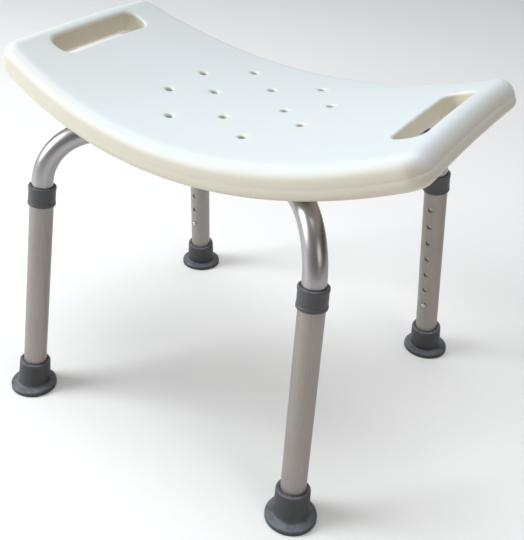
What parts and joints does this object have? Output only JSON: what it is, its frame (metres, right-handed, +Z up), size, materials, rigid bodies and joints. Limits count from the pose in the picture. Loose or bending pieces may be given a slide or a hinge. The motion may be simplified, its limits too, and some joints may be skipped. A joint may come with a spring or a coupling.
{
  "type": "shower stool",
  "caption": "Curved moulded bath seat with hand slots and drain holes on crossed aluminium tubes, with telescopic legs, snap buttons and flared rubber feet.",
  "frame": {"origin": "on the floor, under the middle of the seat, with the legs at their lowest setting", "axes": "+X along the seat, towards its right end; +Y towards the back; +Z up"},
  "size_m": [0.536, 0.4404, 0.4324],
  "materials": {
    "seat_plastic": "satin moulded polyethylene",
    "anodised_tube": "satin anodised",
    "collar_plastic": "moulded grey plastic",
    "foot_rubber": "matt grey rubber",
    "steel": "bright zinc-plated or stainless steel",
    "brass": "turned brass"
  },
  "bodies": {
    "seat_frame": {"seat": "seat_plastic", "upper_frame_tube": "anodised_tube", "lower_frame_tube": "anodised_tube", "seat_bolts": "steel", "seat_inserts": "brass", "seat_saddle_washers": "collar_plastic", "middle_bolt": "steel", "middle_insert": "brass", "middle_saddle_washer": "collar_plastic", "front_left_snap_spring": "steel", "front_right_snap_spring": "steel", "back_left_snap_spring": "steel", "back_right_snap_spring": "steel"},
    "front_left_leg": {"front_left_leg_tube": "anodised_tube", "front_left_collar": "collar_plastic", "front_left_foot": "foot_rubber", "front_left_foot_washer": "steel"},
    "front_left_button": {"front_left_snap_button": "steel"},
    "front_right_leg": {"front_right_leg_tube": "anodised_tube", "front_right_collar": "collar_plastic", "front_right_foot": "foot_rubber", "front_right_foot_washer": "steel"},
    "front_right_button": {"front_right_snap_button": "steel"},
    "back_left_leg": {"back_left_leg_tube": "anodised_tube", "back_left_collar": "collar_plastic", "back_left_foot": "foot_rubber", "back_left_foot_washer": "steel"},
    "back_left_button": {"back_left_snap_button": "steel"},
    "back_right_leg": {"back_right_leg_tube": "anodised_tube", "back_right_collar": "collar_plastic", "back_right_foot": "foot_rubber", "back_right_foot_washer": "steel"},
    "back_right_button": {"back_right_snap_button": "steel"}
  },
  "joints": [
    {"name": "front_left_leg_height", "type": "slide", "parent": "seat_frame", "child": "front_left_leg", "axis": [-0.0503, -0.1148, -0.9921], "range_m": [0, 0.1524]},
    {"name": "front_left_button_press", "type": "slide", "parent": "seat_frame", "child": "front_left_button", "axis": [0.0058, -0.9934, 0.1146], "range_m": [0, 0.0046], "stiffness_N_per_m": 2500, "springref_m": -0.002, "deforming": ["front_left_snap_spring"]},
    {"name": "front_right_leg_height", "type": "slide", "parent": "seat_frame", "child": "front_right_leg", "axis": [0.0503, -0.1148, -0.9921], "range_m": [0, 0.1524]},
    {"name": "front_right_button_press", "type": "slide", "parent": "seat_frame", "child": "front_right_button", "axis": [-0.0058, -0.9934, 0.1146], "range_m": [0, 0.0046], "stiffness_N_per_m": 2500, "springref_m": -0.002, "deforming": ["front_right_snap_spring"]},
    {"name": "back_left_leg_height", "type": "slide", "parent": "seat_frame", "child": "back_left_leg", "axis": [-0.0503, 0.1148, -0.9921], "range_m": [0, 0.1524]},
    {"name": "back_left_button_press", "type": "slide", "parent": "seat_frame", "child": "back_left_button", "axis": [0.0058, 0.9934, 0.1146], "range_m": [0, 0.0046], "stiffness_N_per_m": 2500, "springref_m": -0.002, "deforming": ["back_left_snap_spring"]},
    {"name": "back_right_leg_height", "type": "slide", "parent": "seat_frame", "child": "back_right_leg", "axis": [0.0503, 0.1148, -0.9921], "range_m": [0, 0.1524]},
    {"name": "back_right_button_press", "type": "slide", "parent": "seat_frame", "child": "back_right_button", "axis": [-0.0058, 0.9934, 0.1146], "range_m": [0, 0.0046], "stiffness_N_per_m": 2500, "springref_m": -0.002, "deforming": ["back_right_snap_spring"]}
  ]
}
